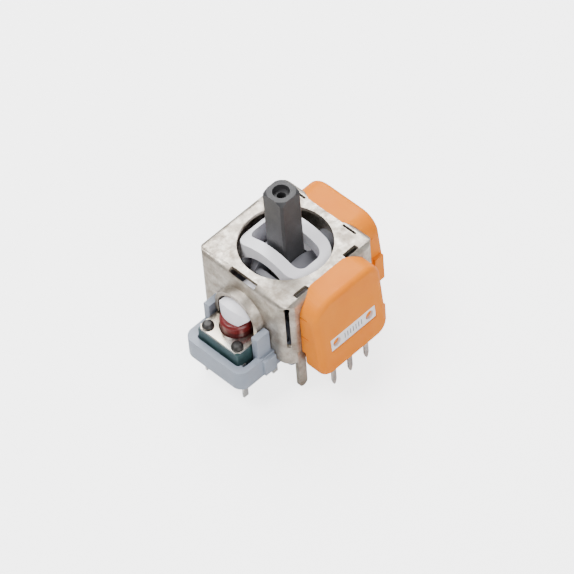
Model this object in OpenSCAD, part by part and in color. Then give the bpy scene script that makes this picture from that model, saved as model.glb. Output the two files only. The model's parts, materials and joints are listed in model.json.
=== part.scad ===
// Two-axis analog stick module for a game controller, with magnetic angle sensors and a press switch.
// Millimetres. The origin lies on the stick's axis at the face that sits on the circuit board.
// +Z points up the stick, +X to the right sensor, and +Y to the rear sensor.

/* [Shell] */
// Outer width of the folded shell, across X and across Y
shell_w = 13.8; // [13.6:0.1:15]
// Height of the shell's top face above the board
shell_top = 11.3; // [11.1:0.1:12]
// Height of the walls' lower edges above the board
shell_low = 1.9; // [1.7:0.1:2.2]
// Thickness of the sheet
sheet_t = 0.5; // [0.4:0.05:0.55]
// Outside radius of the folded top edges
bend_r = 0.8; // [0.6:0.1:1]
// Diameter of the round opening in the top
opening_d = 10.5; // [10.3:0.1:11]
// Width of the four board legs
leg_w = 1.15; // [0.8:0.05:1.5]
// How far the board legs reach below the board face
leg_drop = 2.4; // [1.5:0.1:2.9]
// Outside radius of the arch over the press rod
arch_r = 3.15; // [3.05:0.05:3.3]
// How far the arch stands out of the front wall
arch_out = 1.1; // [0.8:0.1:1.3]

/* [Stick] */
// Width of the stick across its flats
stick_w = 3; // [2.8:0.05:3.2]
// Diameter that rounds the stick's four corners
stick_d = 3.9; // [3.5:0.05:4]
// Height of the stick's tip above the board
stick_top = 19.6; // [17:0.1:24]
// Diameter of the hole in the tip
tip_bore_d = 1; // [0.8:0.05:1.2]
// Depth of the hole in the tip
tip_bore_depth = 4; // [2:0.5:6]
// Diameter of the wider mouth of that hole
tip_mouth_d = 1.9; // [1.5:0.05:2.2]
// Depth of the wider mouth
tip_mouth_depth = 0.7; // [0.4:0.1:1.2]

/* [Gimbal] */
// Height of both tilt axes above the board
axis_z = 6.2; // [6:0.05:6.4]
// Radius of the lower yoke's round back
yoke_r = 4.2; // [4.1:0.05:4.25]
// Width of the lower yoke along its own axis
yoke_w = 6.6; // [6.2:0.1:6.8]
// Radius of the journals that turn in the shell's walls
journal_r = 1.5; // [1.3:0.05:1.7]
// Radius of the pin that carries the stick in the yoke
stick_pin_r = 0.6; // [0.45:0.05:0.7]
// Width of the upper ring
ring_w = 6.6; // [6.4:0.1:6.8]
// Radius of the ring's four corners, seen from above
ring_corner_r = 2; // [1.9:0.05:2.2]
// Thickness of the ring's arched arms over the yoke
ring_t = 1.45; // [1.3:0.05:1.5]
// Thickness of the ring's upright ends
ring_end_t = 0.35; // [0.3:0.05:0.45]

/* [Base] */
// Width of the foot that sits on the board
foot_w = 11.2; // [10.8:0.1:11.4]
// Height of the flange inside the shell
flange_top = 2.6; // [2.4:0.05:2.8]
// Radius of the spring well
well_r = 3.5; // [3.4:0.05:3.6]
// Thickness of the floor below the spring
well_floor = 0.5; // [0.4:0.05:0.6]
// Thickness of the bracket's side walls
bracket_wall = 1.2; // [1:0.05:1.3]
// Thickness of the bracket's front wall
bracket_front_t = 0.9; // [0.6:0.05:1]
// Height of the bracket's low wall above the board
bracket_top = 3; // [2.8:0.1:3.2]
// Height of the two tall posts beside the button
post_top = 6; // [5.5:0.1:7]
// Thickness of the tall posts
post_w = 0.85; // [0.7:0.05:0.95]

/* [Switch] */
// Width of the press switch, both ways
switch_w = 6; // [5.8:0.1:6.2]
// Gap between the press rod's bearing and the switch
switch_gap = 0.15; // [0.1:0.05:0.25]
// Height of the switch's underside above the board
switch_low = 1.1; // [1:0.05:1.2]
// Height of the plastic body
switch_h = 3.3; // [3.1:0.05:3.4]
// Thickness of the metal cover
cover_t = 0.3; // [0.2:0.05:0.35]
// Radius of the button
button_r = 1.87; // [1.6:0.01:1.95]
// Distance from the switch's sides to the staked studs' middles
stud_inset = 0.775; // [0.7:0.005:0.85]
// Radius of the studs' heads
stud_head_r = 0.68; // [0.6:0.01:0.8]
// Distance between the terminals along Y
terminal_pitch = 4.5; // [4.2:0.1:4.8]
// Travel of the button
press_travel = 0.32; // [0.2:0.01:0.34]

/* [Sensors] */
// Width of a sensor housing along its wall
housing_w = 10.2; // [9.8:0.1:10.4]
// Height of a housing's underside above the board
housing_low = 0.4; // [0.3:0.05:0.6]
// How far a housing's face stands out of the wall at its top
housing_t = 2.4; // [2.35:0.05:2.7]
// How much further out it stands at its foot
housing_draft = 0.6; // [0.3:0.05:0.8]
// Radius of a housing's upper corners
housing_top_r = 2.5; // [2:0.1:2.8]
// Radius of a housing's lower corners
housing_low_r = 1.7; // [1.6:0.1:2]
// Radius that softens a housing's outer edges
housing_edge_r = 0.7; // [0.5:0.05:0.8]
// Distance between neighbouring sensor pins
pin_pitch = 2.5; // [2.3:0.1:2.7]
// Width of a sensor pin
pin_w = 0.6; // [0.5:0.05:0.7]
// How far the pins reach below the board face
pin_drop = 3; // [2.9:0.1:4]
// Length of the white strip on a housing
strip_l = 6.8; // [6.2:0.1:7.4]
// Height of the white strip
strip_h = 1.8; // [1.5:0.1:2]
// Height of the strip's middle above the board
strip_z = 4.75; // [4.5:0.05:5.1]
// Distance between the strip's two holes
peg_pitch = 5; // [4.6:0.1:5.2]

/* [Hidden] */
$fn = 64;

// Clearances
running_fit = 0.05;
touch_gap = 0.02;
side_gap = 0.1;
nose_gap = 0.03;
puck_gap = 0.2;
slot_gap = 0.38;
ring_gap = 0.2;
pocket_gap = 0.2;
seat_gap = 0.05;
magnet_gap = 0.15;
over = 1;
weld = 0.02;

// Shell
half = shell_w / 2;
inner = half - sheet_t;
flat = half - bend_r;
corner_r = 1.7;
corner_reach = (half - corner_r) * sqrt(2) + corner_r;
corner_slit_w = 0.48;
corner_slit_low = 4.6;
corner_slit_top = shell_top - bend_r + 0.15;
corner_hole_r = 0.34;
edge_slot_w = 0.65;
rear_slot_w = 0.3;
slot_r = 0.14;
side_slot_l = 1.95;
side_slot_mid = 3.775;
front_slot_l = 3.9;
front_slot_mid = flat + 0.325;
side_slot_in = 0.075;
edge_notch_l = 0.7;
edge_notch_y = 2.4;
edge_notch_reach = 0.2;
edge_notch_depth = 0.25;
leg_y = half - corner_r;
leg_root = 1.6;
tab_l = 1.8;
arch_in = arch_r - sheet_t;
arch_cover_gap = 0.25;
arch_low = switch_low + switch_h + cover_t + arch_cover_gap;

// Gimbal, with heights measured from the axes
yoke_low = -1.4;
yoke_slot_l = 5;
yoke_end_top = 2;
hub_r = 1.9;
hub_wall_gap = 0.5;
hub_end = inner - hub_wall_gap;
journal_proud = 0.08;
journal_end = half + journal_proud;
stub_r = 0.8;
stub_l = 0.3;
press_journal_r = 1;
press_journal_l = 1.4;
bearing_l = 1.1;
bearing_r = 2.1;
stick_chamfer = 0.35;
stick_tip_cone = 0.8;
stick_foot_r = 3.6;
stick_foot_disc_r = 2.4;
stick_foot_top = -2.6;
ring_in_r = yoke_r + ring_gap;
ring_h = ring_in_r + ring_t;
ring_l = 2 * (ring_in_r + ring_end_t);
ring_slot_half = stick_w / 2 + slot_gap;
ring_slot_l = 2 * ring_in_r - 1;
ring_slot_r = 1.1;
ring_fall = 1.6;
ring_top_r = (pow(ring_l / 2, 2) + pow(ring_fall, 2)) / (2 * ring_fall);
ring_hub_r = 2.2;
ring_shoulder = 2.6;

// Puck and spring
puck_cup_r = stick_foot_r + puck_gap;
puck_well_gap = 0.25;
puck_r = well_r - puck_well_gap;
puck_proud = 0.2;
puck_top = flange_top + puck_proud;
puck_flange_t = 0.75;
puck_stem_r = 1.8;
puck_lift = 0.5;
puck_stem_low = well_floor + puck_lift;
spring_wire_r = 0.18;
spring_turns = 2.5;
spring_r = (puck_stem_r + puck_r) / 2;
spring_low = well_floor + touch_gap;
spring_high = puck_top - puck_flange_t - touch_gap;

// Press rod
bearing_wall = 0.35;
press_bearing_front = yoke_w / 2 + bearing_l + bearing_wall;
switch_out = press_bearing_front + switch_gap + switch_w / 2;
press_nose_reach = 1.25;
press_nose_out = switch_out + press_nose_reach;
press_nose_root = 0.2;
press_nose_r = 2.4;
press_nose_foot = 2.5;
press_nose_hip = 1.2;
press_front_r = 3;
button_rise = 1.5;
press_nose_low = switch_low + switch_h + cover_t + button_rise - axis_z + nose_gap;

// Base
foot_half = foot_w / 2;
foot_r = 0.5;
bracket_in = switch_w / 2 + pocket_gap;
bracket_half = bracket_in + bracket_wall;
bracket_low = 0.3;
bracket_r = 1.3;
bracket_inner_r = 0.4;
pocket_front = switch_out + switch_w / 2 + pocket_gap;
bracket_out = pocket_front + bracket_front_t;
pocket_back = switch_out - switch_w / 2 - side_gap;
post_back = half + side_gap;
post_l = 1.9;
side_pocket_t = 0.45;
lug_out = 0.45;
lug_l = 1.7;
lug_low = 0.6;
lug_top = 2.8;

// Switch
switch_top = switch_low + switch_h;
cover_top = switch_top + cover_t;
cover_chamfer = 0.45;
cavity_r = 2.35;
cavity_low = 2.4;
dome_r = 2.1;
dome_h = 0.7;
dome_t = 0.1;
dome_curve = (pow(dome_r, 2) + pow(dome_h, 2)) / (2 * dome_h);
button_top = cover_top + button_rise;
button_flange_r = 2.15;
button_flange_t = 0.4;
button_nub_r = 0.7;
dome_gap = 0.03;
button_nub_low = cavity_low + dome_h + press_travel + dome_gap;
button_edge = 0.25;
stud_r = 0.5;
stud_pitch = switch_w - 2 * stud_inset;
stud_head_h = 0.45;
stud_top_r = 0.41;
terminal_t = 0.3;
terminal_x = (switch_w - terminal_t) / 2;
terminal_w = 0.7;
terminal_top = 2.5;

// Sensors, measured out from the stick's axis
face_top = half + housing_t;
face_low = face_top + housing_draft;
lip_in = flat - 0.3;
lip_root = 0.2;
housing_in = lip_in - seat_gap;
housing_half = housing_w / 2;
draft_angle = atan(housing_draft / (shell_top - housing_low));
wall_t = 0.3;
cavity_out = face_top - wall_t;
cavity_side = 0.9;
cavity_roof = 1.4;
cavity_half = housing_half - cavity_side;
cavity_z = [housing_low + cavity_side, shell_top - cavity_roof];
pin_t = 0.3;
pin_wall_gap = 0.07;
pin_mid = cavity_out - pin_wall_gap - pin_t / 2;
pin_top = 2.4;
pin_shoulder = 0.7;
pin_point_w = 0.2;
board_t = 0.4;
board_out = pin_mid - pin_t / 2;
board_gap = 0.3;
sensor_t = 0.5;
sensor_l = 3.2;
sensor_h = 3;
holder_r = 2.6;
holder_out = board_out - board_t - sensor_t - magnet_gap;
magnet_r = 1.5;
tongue_cut_w = 0.14;
tongue_cut_l = 1.1;
tongue_cut_depth = 0.35;
tongue_z = [5.9, 9];
heel_in = 0.55;
heel_out = half + heel_in;
heel_depth = 1.2;
heel_top = 3.3;
ear_out = 0.45;
ear_in = 0.9;
ear_face_gap = 0.25;
ear_span = [half + ear_in, face_top - ear_face_gap];
right_ear_z = [0.8, 3.4];
rear_ear_z = [2, 5.8];
strip_t = 0.35;
strip_proud = 0.03;
peg_hole_r = 0.56;
peg_r = 0.42;
peg_h = 0.12;

// Rectangle with four rounded corners, drawn with true arcs
module rounded_rect(w, d, r) {
    square([w - 2 * r, d], center = true);
    square([w, d - 2 * r], center = true);
    for (x = [-1, 1], y = [-1, 1])
        translate([x * (w / 2 - r), y * (d / 2 - r)])
            circle(r);
}

// A box laid out by its corner and its size
module block(x, y, z) {
    translate([x[0], y[0], z[0]])
        cube([x[1] - x[0], y[1] - y[0], z[1] - z[0]]);
}

// Round bar along X at the height of the tilt axes
module bar_x(from, to, r) {
    translate([from, 0, axis_z])
        rotate([0, 90, 0])
            cylinder(r = r, h = to - from);
}

// Round bar along Y at the height of the tilt axes
module bar_y(from, to, r) {
    translate([0, from, axis_z])
        rotate([-90, 0, 0])
            cylinder(r = r, h = to - from);
}

// Outline drawn in X and Z, carried along Y by its full length
module along_y(length) {
    translate([0, length / 2, 0])
        rotate([90, 0, 0])
            linear_extrude(length)
                children();
}

// Copies the right sensor's piece, turned round to the rear wall
module rear() {
    mirror([1, -1, 0])
        children();
}

// Upright section of the shell: straight sides and a top with two folded edges
module shell_section(h, top, r, low) {
    translate([-h, low])
        square([2 * h, top - r - low]);
    translate([r - h, low])
        square([2 * (h - r), top - low]);
    for (side = [-1, 1])
        translate([side * (h - r), top - r])
            circle(r);
}

// Closed block with the shell's form, grown or shrunk by its arguments
module shell_block(h, top, r, low) {
    intersection() {
        along_y(2 * (h + over))
            shell_section(h, top, r, low);
        rotate([0, 0, 90])
            along_y(2 * (h + over))
                shell_section(h, top, r, low);
        translate([0, 0, low])
            linear_extrude(top - low)
                rounded_rect(2 * h, 2 * h, corner_r + h - half);
    }
}

// Slits between neighbouring walls at the rounded corners, each ending in a small hole
module corner_slits() {
    for (a = [45:90:315])
        rotate([0, 0, a]) {
            block([corner_reach - over, corner_reach + over], [-corner_slit_w / 2, corner_slit_w / 2],
                [corner_slit_low, corner_slit_top]);
            translate([corner_reach - over, 0, corner_slit_top])
                rotate([0, 90, 0])
                    cylinder(r = corner_hole_r, h = 2 * over);
        }
}

// Narrow openings in the top face along the folds
module edge_slots() {
    top_cut = [shell_top - sheet_t - over, shell_top + over];
    translate([0, -front_slot_mid, top_cut[0]])
        linear_extrude(2 * over + sheet_t)
            rounded_rect(front_slot_l, edge_slot_w, slot_r);
    for (side = [-1, 1]) {
        translate([flat - side_slot_in, side * side_slot_mid, top_cut[0]])
            linear_extrude(2 * over + sheet_t)
                rounded_rect(edge_slot_w, side_slot_l, slot_r);
        translate([side * side_slot_mid, flat - (edge_slot_w - rear_slot_w) / 2, top_cut[0]])
            linear_extrude(2 * over + sheet_t)
                rounded_rect(side_slot_l, rear_slot_w, slot_r);
    }
    block([-half - over, edge_notch_reach - flat], [edge_notch_y, edge_notch_y + edge_notch_l],
        [shell_top - edge_notch_depth, shell_top + over]);
}

// Arch that covers the press rod, drawn out of the front wall
module front_arch(r, from, to) {
    translate([0, 0, axis_z])
        along_y_between(from, to) {
            intersection() {
                circle(r);
                translate([-r, 0])
                    square([2 * r, r]);
            }
            translate([-r, arch_low - axis_z])
                square([2 * r, axis_z - arch_low]);
        }
}

// Outline in X and Z, carried along Y between two places
module along_y_between(from, to) {
    translate([0, to, 0])
        rotate([90, 0, 0])
            linear_extrude(to - from)
                children();
}

// One board leg: a strip of the wall, rounded at its end
module board_leg() {
    rotate([0, 90, 0])
        linear_extrude(sheet_t) {
            translate([-shell_low - leg_root, -leg_w / 2])
                square([shell_low + leg_root + leg_drop - leg_w / 2, leg_w]);
            intersection() {
                translate([leg_drop - leg_w / 2, 0])
                    circle(leg_w / 2);
                translate([leg_drop - leg_w, -leg_w / 2])
                    square([leg_w, leg_w]);
            }
        }
}

module metal_shell() {
    color("gainsboro")
    difference() {
        union() {
            difference() {
                shell_block(half, shell_top, bend_r, shell_low);
                shell_block(inner, shell_top - sheet_t, bend_r - sheet_t, shell_low - over);
                // Round opening
                translate([0, 0, shell_top - sheet_t - over])
                    cylinder(d = opening_d, h = sheet_t + 2 * over, $fn = 96);
                corner_slits();
                edge_slots();
                // Window for the bracket and the switch
                block([-bracket_half - side_gap, bracket_half + side_gap],
                    [-half - over, -inner + over], [0, bracket_top + side_gap]);
                block([-arch_r, arch_r], [-half - over, -inner + over], [0, arch_low]);
                front_arch(arch_in, -half - over, -inner + over);
            }
            difference() {
                front_arch(arch_r, -half - arch_out, -inner);
                front_arch(arch_in, -half - arch_out - over, -inner + over);
                block([-arch_in, arch_in], [-half - arch_out - over, -inner + over],
                    [arch_low - over, axis_z]);
            }
            // Legs that go through the board
            for (x = [-1, 1], y = [-1, 1])
                translate([x * (half - sheet_t / 2) - sheet_t / 2, y * leg_y, 0])
                    board_leg();
            // Tabs folded in under the base's flange
            for (a = [90, 180, 270])
                rotate([0, 0, a])
                    block([-tab_l / 2, tab_l / 2], [-half, -foot_half - seat_gap],
                        [shell_low - sheet_t, shell_low]);
            for (a = [90, 180, 270])
                rotate([0, 0, a])
                    block([-tab_l / 2, tab_l / 2], [-half, -inner],
                        [shell_low - sheet_t, shell_low + sheet_t]);
        }
        // Bearing holes for the journals
        bar_x(-half - over, half + over, journal_r + running_fit);
        bar_y(inner - over, half + over, journal_r + running_fit);
    }
}

// Low wall and floor of the bracket, with round front corners
module bracket_outline(h, front, back, r) {
    translate([-h, -front + r])
        square([2 * h, front - r - back]);
    translate([r - h, -front])
        square([2 * (h - r), front - back]);
    for (side = [-1, 1])
        translate([side * (h - r), r - front])
            circle(r);
}

module base_frame() {
    color("lightsteelblue")
    difference() {
        union() {
            linear_extrude(shell_low)
                rounded_rect(foot_w, foot_w, foot_r);
            translate([0, 0, shell_low])
                linear_extrude(flange_top - shell_low)
                    rounded_rect(2 * (inner - side_gap), 2 * (inner - side_gap),
                        corner_r - sheet_t - side_gap);
            translate([0, 0, bracket_low])
                linear_extrude(bracket_top - bracket_low)
                    bracket_outline(bracket_half, bracket_out, foot_half - over, bracket_r);
            // Tall posts beside the button
            for (side = [-1, 1])
                translate([side * (bracket_in + post_w / 2) - post_w / 2,
                        -post_back - post_l, bracket_low])
                    cube([post_w, post_l, post_top - bracket_low]);
            // Lug on the outer side of the right post
            block([bracket_in + bracket_wall / 2, bracket_half + lug_out],
                [-post_back - lug_l, -post_back], [lug_low, lug_top]);
        }
        // Spring well
        translate([0, 0, well_floor])
            cylinder(r = well_r, h = flange_top);
        // Pocket for the switch
        translate([0, 0, switch_low])
            linear_extrude(post_top)
                bracket_outline(bracket_in, pocket_front, pocket_back, bracket_inner_r);
        // Wider room beside the switch, in front of the right post
        block([0, bracket_in + side_pocket_t], [-pocket_front + bracket_inner_r, -post_back - post_l],
            [switch_low, post_top]);
        // Ways for the switch's terminals
        terminals_at()
            block([terminal_t / 2 - terminal_t - side_gap, terminal_t / 2 + side_gap],
                [-terminal_w / 2 - side_gap, terminal_w / 2 + side_gap], [-over, switch_low + over]);
    }
}

// Square bar with its corners turned round
module stick_bar(low, high, w, d) {
    translate([0, 0, low])
        intersection() {
            translate([-w / 2, -w / 2, 0])
                cube([w, w, high - low]);
            cylinder(d = d, h = high - low);
        }
}

module stick() {
    color("dimgray")
    translate([0, 0, axis_z])
        difference() {
            union() {
                stick_bar(stick_foot_top - weld, stick_top - axis_z, stick_w, stick_d);
                // Rounded foot that presses on the puck
                intersection() {
                    sphere(stick_foot_r);
                    translate([0, 0, -stick_foot_r])
                        cylinder(r = stick_foot_disc_r, h = stick_foot_r + stick_foot_top);
                }
            }
            // Bevel round the tip
            translate([0, 0, stick_top - axis_z - stick_chamfer])
                difference() {
                    translate([-stick_w, -stick_w, 0])
                        cube([2 * stick_w, 2 * stick_w, stick_w]);
                    cylinder(r1 = stick_d / 2, r2 = stick_d / 2 - stick_tip_cone, h = stick_tip_cone);
                }
            // Hole in the tip with a wider mouth
            translate([0, 0, stick_top - axis_z - tip_bore_depth])
                cylinder(d = tip_bore_d, h = tip_bore_depth + over);
            translate([0, 0, stick_top - axis_z - tip_mouth_depth])
                cylinder(d = tip_mouth_d, h = tip_mouth_depth + over);
            // Bore for the stick's pin
            translate([-stick_w, 0, 0])
                rotate([0, 90, 0])
                    cylinder(r = stick_pin_r + running_fit, h = 2 * stick_w);
        }
}

module lower_yoke() {
    color("lightslategray") {
        difference() {
            // Round back between two flat ends
            intersection() {
                translate([0, 0, axis_z])
                    sphere(yoke_r);
                block([-yoke_r, yoke_r], [-yoke_w / 2, yoke_w / 2],
                    [axis_z + yoke_low, axis_z + yoke_r]);
            }
            // Slot that the stick swings in
            block([-stick_w / 2 - side_gap, stick_w / 2 + side_gap],
                [-yoke_slot_l / 2, yoke_slot_l / 2], [0, shell_top]);
            block([-stick_w / 2 - side_gap, stick_w / 2 + side_gap],
                [-yoke_w, yoke_w], [axis_z + yoke_end_top, shell_top]);
            bar_x(-yoke_r - over, yoke_r + over, stick_pin_r);
        }
        bar_y(yoke_w / 2, journal_end, journal_r);
        bar_y(journal_end, journal_end + stub_l, stub_r);
        bar_y(-yoke_w / 2 - press_journal_l, -yoke_w / 2, press_journal_r);
    }
}

module stick_pin() {
    color("silver")
    bar_x(-pin_reach(), pin_reach(), stick_pin_r);
}

// Half length of the stick's pin, which ends flush with the yoke's back
function pin_reach() = sqrt(pow(yoke_r, 2) - pow(stick_pin_r, 2)) - side_gap;

// Upright outline of the ring: a gently curved top over a round arch, on two upright ends
module ring_outline() {
    crown = axis_z + ring_h;
    low = axis_z - ring_hub_r;
    difference() {
        intersection() {
            translate([0, crown - ring_top_r])
                circle(ring_top_r, $fn = 160);
            translate([-ring_l / 2, low])
                square([ring_l, crown - low]);
        }
        translate([0, axis_z])
            circle(ring_in_r, $fn = 128);
        translate([-ring_in_r, low - over])
            square([2 * ring_in_r, ring_hub_r + over]);
    }
}

// End view of the ring: full width above its shoulders, drawn in to a round hub below them
module ring_end_view() {
    side = ring_w / 2;
    translate([0, axis_z]) {
        polygon([
            [-ring_hub_r, 0], [ring_hub_r, 0], [side, ring_shoulder],
            [side, ring_h + over], [-side, ring_h + over], [-side, ring_shoulder]
        ]);
        circle(ring_hub_r);
    }
}

module upper_ring() {
    color("whitesmoke") {
        difference() {
            intersection() {
                along_y(ring_w + over)
                    ring_outline();
                linear_extrude(axis_z + ring_h + over)
                    rounded_rect(ring_l, ring_w, ring_corner_r);
                rotate([0, 0, 90])
                    along_y(ring_l + over)
                        ring_end_view();
            }
            translate([0, 0, axis_z])
                linear_extrude(ring_h + over)
                    rounded_rect(ring_slot_l, 2 * ring_slot_half, ring_slot_r);
        }
        bar_x(ring_in_r + weld, hub_end, hub_r);
        bar_x(-hub_end, -ring_in_r - weld, hub_r);
        bar_x(hub_end - weld, journal_end, journal_r);
        bar_x(-half - touch_gap, weld - hub_end, journal_r);
        bar_x(journal_end, journal_end + stub_l, stub_r);
    }
}

module switch_pusher() {
    color("white")
    difference() {
        union() {
            // Nose that rests on the button
            intersection() {
                translate([0, 0, axis_z])
                    along_y_between(-press_nose_out, press_nose_root - press_bearing_front)
                        intersection() {
                            circle(press_nose_r);
                            polygon([
                                [-press_nose_foot / 2, press_nose_low],
                                [press_nose_foot / 2, press_nose_low],
                                [press_nose_r, press_nose_hip], [press_nose_r, press_nose_r],
                                [-press_nose_r, press_nose_r], [-press_nose_r, press_nose_hip]
                            ]);
                        }
                translate([0, press_front_r - press_nose_out, axis_z])
                    cylinder(r = press_front_r, h = press_nose_r + over);
            }
            // Bearing that carries the yoke's front journal
            bar_y(-press_bearing_front, -yoke_w / 2 - side_gap, bearing_r);
        }
        bar_y(-yoke_w / 2 - press_journal_l - side_gap, -yoke_w / 2, press_journal_r + running_fit);
    }
}

module centring_puck() {
    color("gray")
    difference() {
        union() {
            translate([0, 0, puck_top - puck_flange_t])
                cylinder(r = puck_r, h = puck_flange_t);
            translate([0, 0, puck_stem_low])
                cylinder(r = puck_stem_r, h = puck_top - puck_stem_low);
        }
        // Cup for the stick's foot
        translate([0, 0, axis_z])
            sphere(puck_cup_r);
    }
}

// Ring of points across the spring's wire at one angle along the coil
function wire_ring(angle, height) = [
    for (k = [0:7])
        let (reach = spring_r + spring_wire_r * cos(45 * k))
            [reach * cos(angle), reach * sin(angle), height + spring_wire_r * sin(45 * k)]
];

module return_spring() {
    steps = 24 * spring_turns;
    low = spring_low + spring_wire_r;
    rise = spring_high - spring_low - 2 * spring_wire_r;
    points = [
        for (i = [0:steps])
            each wire_ring(15 * i, low + rise * i / steps)
    ];
    sides = [
        for (i = [0:steps - 1], k = [0:7])
            [8 * i + k, 8 * i + (k + 1) % 8, 8 * i + 8 + (k + 1) % 8, 8 * i + 8 + k]
    ];
    first = [for (k = [0:7]) 7 - k];
    last = [for (k = [0:7]) 8 * steps + k];
    color("silver")
    polyhedron(points, concat(sides, [first, last]), convexity = 8);
}

// Disc with a fully rounded outer edge
module soft_disc(r, edge) {
    rotate_extrude($fn = 40)
        intersection() {
            union() {
                translate([r - edge, 0])
                    circle(edge, $fn = 24);
                translate([0, -edge])
                    square([r - edge, 2 * edge]);
            }
            translate([0, -r])
                square([r, 2 * r]);
        }
}

// Outer form of a sensor housing with soft edges and a leaning face
module housing_skin() {
    hull()
        for (side = [-1, 1]) {
            upper = [side * (housing_half - housing_top_r), shell_top - housing_top_r];
            lower = [side * (housing_half - housing_low_r), housing_low + housing_low_r];
            translate([face_top - housing_edge_r, upper[0], upper[1]])
                rotate([0, 90, 0])
                    soft_disc(housing_top_r, housing_edge_r);
            translate([face_low - housing_edge_r, lower[0], lower[1]])
                rotate([0, 90, 0])
                    soft_disc(housing_low_r, housing_edge_r);
            translate([housing_in, upper[0], upper[1]])
                rotate([0, 90, 0])
                    cylinder(r = housing_top_r, h = 0.1, $fn = 40);
            translate([housing_in, lower[0], lower[1]])
                rotate([0, 90, 0])
                    cylinder(r = housing_low_r, h = 0.1, $fn = 40);
        }
}

// Places the strip, its recess or its pegs square to the leaning face
module on_face() {
    lean = housing_draft * (shell_top - strip_z) / (shell_top - housing_low);
    translate([face_top + lean, 0, strip_z])
        rotate([0, -draft_angle, 0])
            children();
}

module peg_places() {
    for (side = [-1, 1])
        translate([0, side * peg_pitch / 2, 0])
            rotate([0, 90, 0])
                children();
}

module housing(ear_z) {
    color("orange") {
        difference() {
            housing_skin();
            // Room for the folded shell
            shell_block(half + seat_gap, shell_top + over, bend_r, -over);
            // Chamber for the magnet and the sensor board
            block([half - over, cavity_out], [-cavity_half, cavity_half], cavity_z);
            // Ways for the pins
            for (i = [-1:1])
                block([pin_mid - pin_t / 2 - touch_gap, pin_mid + pin_t / 2 + touch_gap],
                    [i * pin_pitch - pin_w / 2 - seat_gap, i * pin_pitch + pin_w / 2 + seat_gap],
                    [housing_low - over, cavity_z[0] + weld]);
            // Clip tongues between two thin cuts on each side
            for (side = [-1, 1], z = tongue_z)
                translate([half - over, side * housing_half - tongue_cut_depth, z - tongue_cut_w / 2])
                    cube([tongue_cut_l + over, 2 * tongue_cut_depth, tongue_cut_w]);
            // Heels cut back beside the board legs
            for (side = [-1, 1])
                translate([half - over, side * housing_half - heel_depth, housing_low - over])
                    cube([heel_out - half + over, 2 * heel_depth, heel_top - housing_low + over]);
            on_face()
                translate([-strip_t, -strip_l / 2 - touch_gap, -strip_h / 2 - touch_gap])
                    cube([over, strip_l + 2 * touch_gap, strip_h + 2 * touch_gap]);
        }
        // Lip over the shell's folded edge
        intersection() {
            housing_skin();
            difference() {
                block([lip_in, half + lip_root], [-housing_half, housing_half],
                    [shell_top - bend_r, shell_top]);
                shell_block(half + seat_gap, shell_top, bend_r + seat_gap, 0);
            }
        }
        // Pegs that hold the strip
        on_face()
            peg_places()
                translate([0, 0, -strip_t - weld])
                    cylinder(r = peg_r, h = peg_h + weld);
        // Locating ear on the far side
        block(ear_span, [housing_half - wall_t, housing_half + ear_out], ear_z);
    }
}

module strip() {
    color("white")
    on_face()
        difference() {
            translate([-strip_t, -strip_l / 2, -strip_h / 2])
                cube([strip_t + strip_proud, strip_l, strip_h]);
            peg_places()
                translate([0, 0, -over])
                    cylinder(r = peg_hole_r, h = 2 * over);
        }
}

module board() {
    color("darkgreen")
    block([board_out - board_t, board_out], [board_gap - cavity_half, cavity_half - board_gap],
        [cavity_z[0] + board_gap, cavity_z[1] - board_gap]);
}

module sensor() {
    color("black")
    block([board_out - board_t - sensor_t, board_out - board_t], [-sensor_l / 2, sensor_l / 2],
        [axis_z - sensor_h / 2, axis_z + sensor_h / 2]);
}

module magnet_holder() {
    color("ivory")
    difference() {
        bar_x(journal_end, holder_out, holder_r);
        bar_x(journal_end - over, journal_end + stub_l, stub_r);
        bar_x(journal_end + stub_l, holder_out + over, magnet_r);
    }
}

module magnet() {
    color("slategray")
    bar_x(journal_end + stub_l, holder_out, magnet_r);
}

module pins() {
    color("lightgray")
    for (i = [-1:1])
        translate([pin_mid - pin_t / 2, i * pin_pitch, 0])
            rotate([90, 0, 90])
                linear_extrude(pin_t)
                    polygon([
                        [-pin_w / 2, pin_top], [-pin_w / 2, pin_shoulder - pin_drop],
                        [-pin_point_w / 2, -pin_drop], [pin_point_w / 2, -pin_drop],
                        [pin_w / 2, pin_shoulder - pin_drop], [pin_w / 2, pin_top]
                    ]);
}

// Places for the four corner studs
module studs_at() {
    for (x = [-1, 1], y = [-1, 1])
        translate([x * stud_pitch / 2, y * stud_pitch / 2 - switch_out, 0])
            children();
}

// Places for the four terminals, with +X always pointing outwards
module terminals_at() {
    for (side = [0, 1], y = [-1, 1])
        translate([0, y * terminal_pitch / 2 - switch_out, 0])
            mirror([side, 0, 0])
                translate([terminal_x, 0, 0])
                    children();
}

module terminal(gap) {
    block([-terminal_t / 2 - gap, terminal_t / 2 + gap],
        [-terminal_w / 2 - gap, terminal_w / 2 + gap], [-pin_drop, terminal_top + gap]);
}

module switch_body() {
    color("darkslategray")
    difference() {
        union() {
            translate([-switch_w / 2, -switch_out - switch_w / 2, switch_low])
                cube([switch_w, switch_w, switch_h]);
            studs_at() {
                translate([0, 0, switch_top - weld])
                    cylinder(r = stud_r, h = cover_t + 2 * weld);
                translate([0, 0, cover_top])
                    cylinder(r = stud_head_r, h = stud_head_h / 2);
                translate([0, 0, cover_top + stud_head_h / 2])
                    cylinder(r1 = stud_head_r, r2 = stud_top_r, h = stud_head_h / 2);
            }
        }
        translate([0, -switch_out, cavity_low])
            cylinder(r = cavity_r, h = switch_h);
        terminals_at()
            terminal(touch_gap);
    }
}

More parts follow.
